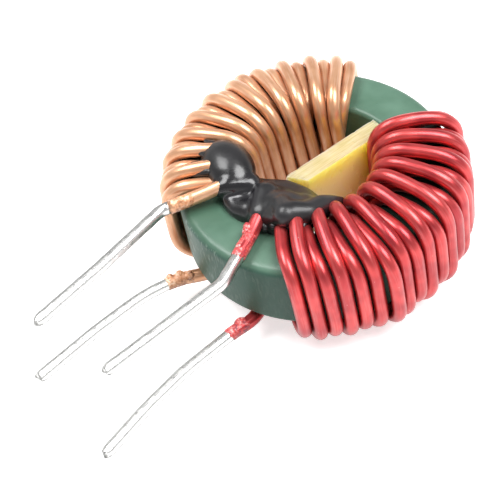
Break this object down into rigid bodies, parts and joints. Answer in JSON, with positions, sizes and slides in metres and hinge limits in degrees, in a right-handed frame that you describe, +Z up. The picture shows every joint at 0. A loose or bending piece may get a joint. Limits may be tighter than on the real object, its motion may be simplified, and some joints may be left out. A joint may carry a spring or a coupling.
{
  "type": "toroidal inductor",
  "caption": "Common-mode choke: a green ferrite ring with one bare-coloured and one red winding, a divider plate, black glue and tinned leads to one side.",
  "frame": {"origin": "under the middle of the ring, on the plane that the lowest turns rest on", "axes": "+Z up along the axis of the ring, the leads leave toward -Y, the red winding is on +X and the copper one on -X"},
  "size_m": [0.026, 0.0384, 0.0117],
  "materials": {
    "ring_core": "satin green paint on pressed ferrite",
    "copper_enamel": "natural enamelled copper wire, glossy",
    "red_enamel": "red enamelled copper wire, glossy",
    "glass_laminate": "bare glass and epoxy board with sawn edges",
    "black_glue": "cured black adhesive, glossy",
    "lead_tin": "bright dipped solder"
  },
  "bodies": {
    "root": {"ring_core": "ring_core", "copper_winding": "copper_enamel", "red_winding": "red_enamel", "divider_plate": "glass_laminate", "glue": "black_glue", "copper_lead_top": "lead_tin", "copper_lead_low": "lead_tin", "red_lead_top": "lead_tin", "red_lead_low": "lead_tin"}
  },
  "joints": []
}
